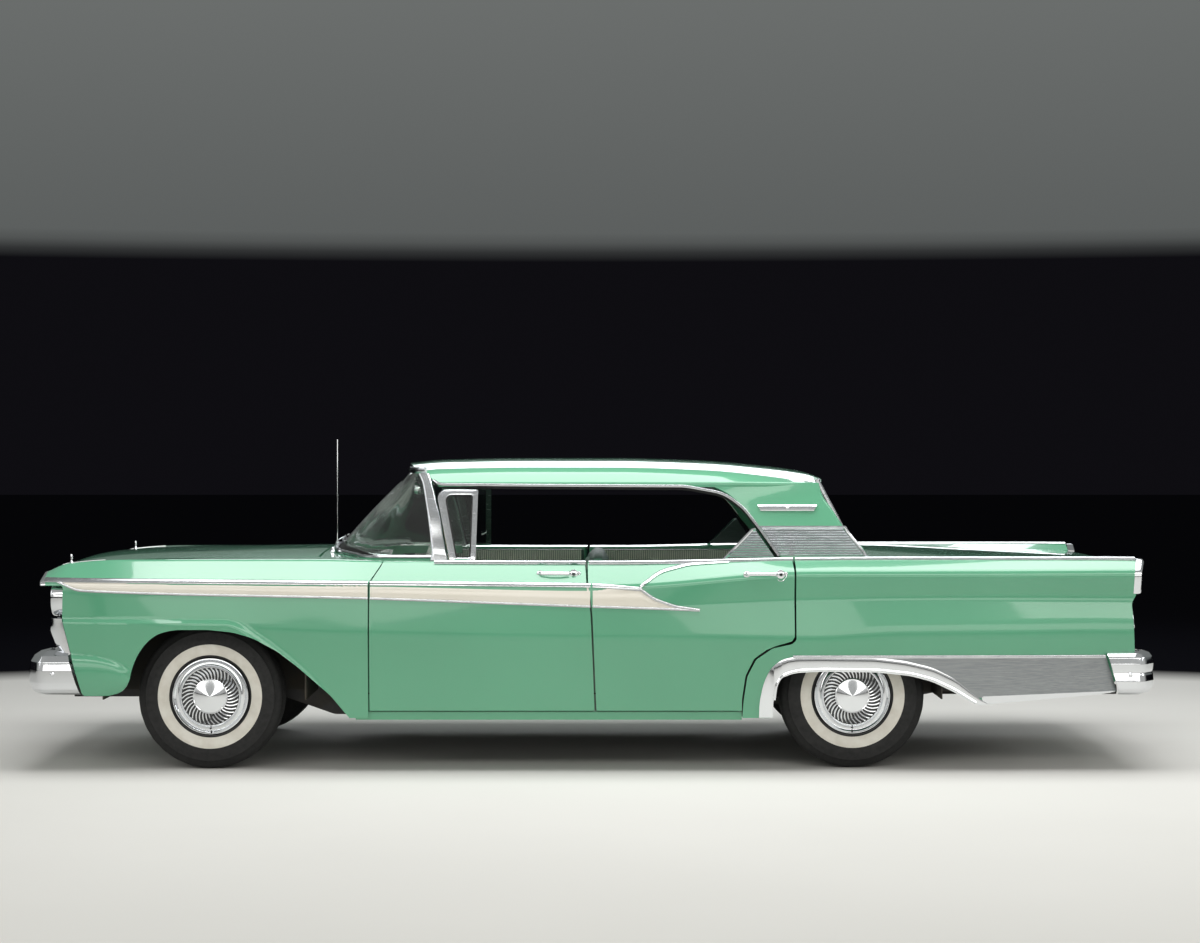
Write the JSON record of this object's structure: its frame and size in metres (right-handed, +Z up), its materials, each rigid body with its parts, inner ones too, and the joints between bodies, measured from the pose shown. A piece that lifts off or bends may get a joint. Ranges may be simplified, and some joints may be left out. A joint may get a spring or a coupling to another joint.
{
  "type": "four-door hardtop sedan car",
  "caption": "Long low hardtop sedan on a separate chassis, with opening doors, bonnet and boot, steered front wheels and chrome wrap-round bumpers.",
  "frame": {"origin": "on the floor, midway between the bumpers and on the centre line", "axes": "+X to the tail, +Y to the car's right, +Z up"},
  "size_m": [5.29, 1.9454, 1.54],
  "materials": {
    "paint": "gloss",
    "chrome": "polished",
    "glass": "clear",
    "frame_black": "satin",
    "iron": "matt",
    "tyre": "matt",
    "upholstery": "satin",
    "lamp_glass": "clear",
    "lamp_red": "gloss",
    "dash_paint": "satin",
    "cream_plastic": "gloss",
    "steel": "satin"
  },
  "bodies": {
    "body": {"front_wings": "paint", "rear_quarters": "paint", "roof": "paint", "windscreen_frame": "chrome", "windscreen": "glass", "cowl": "paint", "dashboard": "dash_paint", "floor_pan": "frame_black", "rocker_panels": "paint", "door_posts": "paint", "rear_deck": "paint", "rear_window": "glass", "tail_panel": "paint", "rear_wheelhouses": "frame_black", "inner_wings": "frame_black", "radiator": "frame_black", "headlights": "lamp_glass", "headlight_bezels": "chrome", "grille": "chrome", "front_bumper": "chrome", "rear_bumper": "chrome", "tail_lights": "lamp_red", "plate_brackets": "frame_black", "chassis_frame": "frame_black", "engine": "iron", "driveshaft": "steel", "fuel_tank": "steel", "exhaust": "steel", "front_suspension": "frame_black", "rear_axle": "iron", "leaf_springs": "frame_black", "front_seat": "upholstery", "rear_seat": "upholstery", "steering_column": "cream_plastic", "antenna": "chrome"},
    "bonnet": {"bonnet": "paint"},
    "boot_lid": {"boot_lid": "paint"},
    "front_door_right": {"front_door_right": "paint", "vent_window_right": "chrome"},
    "front_door_left": {"front_door_left": "paint", "vent_window_left": "chrome"},
    "rear_door_right": {"rear_door_right": "paint"},
    "rear_door_left": {"rear_door_left": "paint"},
    "knuckle_left": {"knuckle_left": "iron"},
    "knuckle_right": {"knuckle_right": "iron"},
    "front_left_wheel": {"wheel_front_left": "chrome", "tyre_front_left": "tyre"},
    "front_right_wheel": {"wheel_front_right": "chrome", "tyre_front_right": "tyre"},
    "rear_left_wheel": {"wheel_rear_left": "chrome", "tyre_rear_left": "tyre"},
    "rear_right_wheel": {"wheel_rear_right": "chrome", "tyre_rear_right": "tyre"},
    "steering_wheel": {"steering_wheel": "cream_plastic"}
  },
  "joints": [
    {"name": "bonnet_hinge", "type": "hinge", "parent": "body", "child": "bonnet", "pos_m": [-1.285, 0, 1.006], "axis": [0, 1, 0], "range_deg": [0, 50]},
    {"name": "boot_lid_hinge", "type": "hinge", "parent": "body", "child": "boot_lid", "pos_m": [1.305, 0, 1.001], "axis": [0, -1, 0], "range_deg": [0, 65]},
    {"name": "front_door_right_hinge", "type": "hinge", "parent": "body", "child": "front_door_right", "pos_m": [-1.024, 0.975, 0.6], "axis": [0, 0, 1], "range_deg": [0, 65]},
    {"name": "rear_door_right_hinge", "type": "hinge", "parent": "body", "child": "rear_door_right", "pos_m": [-0.01841, 0.975, 0.6], "axis": [0, 0, 1], "range_deg": [0, 60]},
    {"name": "front_door_left_hinge", "type": "hinge", "parent": "body", "child": "front_door_left", "pos_m": [-1.024, -0.975, 0.6], "axis": [0, 0, -1], "range_deg": [0, 65]},
    {"name": "rear_door_left_hinge", "type": "hinge", "parent": "body", "child": "rear_door_left", "pos_m": [-0.01841, -0.975, 0.6], "axis": [0, 0, -1], "range_deg": [0, 60]},
    {"name": "knuckle_left_steer", "type": "hinge", "parent": "body", "child": "knuckle_left", "pos_m": [-1.777, -0.6555, 0.339], "axis": [0, 0, 1], "range_deg": [-30, 30]},
    {"name": "front_left_wheel_spin", "type": "hinge", "parent": "knuckle_left", "child": "front_left_wheel", "pos_m": [-1.777, -0.7495, 0.339], "axis": [0, 1, 0], "continuous": true},
    {"name": "knuckle_right_steer", "type": "hinge", "parent": "body", "child": "knuckle_right", "pos_m": [-1.777, 0.6555, 0.339], "axis": [0, 0, 1], "range_deg": [-30, 30]},
    {"name": "front_right_wheel_spin", "type": "hinge", "parent": "knuckle_right", "child": "front_right_wheel", "pos_m": [-1.777, 0.7495, 0.339], "axis": [0, 1, 0], "continuous": true},
    {"name": "rear_left_wheel_spin", "type": "hinge", "parent": "body", "child": "rear_left_wheel", "pos_m": [1.22, -0.7165, 0.339], "axis": [0, 1, 0], "continuous": true},
    {"name": "rear_right_wheel_spin", "type": "hinge", "parent": "body", "child": "rear_right_wheel", "pos_m": [1.22, 0.7165, 0.339], "axis": [0, 1, 0], "continuous": true},
    {"name": "steering_wheel_turn", "type": "hinge", "parent": "body", "child": "steering_wheel", "pos_m": [-0.688, -0.37, 0.951], "axis": [0.9511, 0, 0.309], "range_deg": [-600, 600]}
  ],
  "couplings": [
    {"joint": "knuckle_right_steer", "follows": "knuckle_left_steer", "ratio": 1},
    {"joint": "steering_wheel_turn", "follows": "knuckle_left_steer", "ratio": 20}
  ]
}
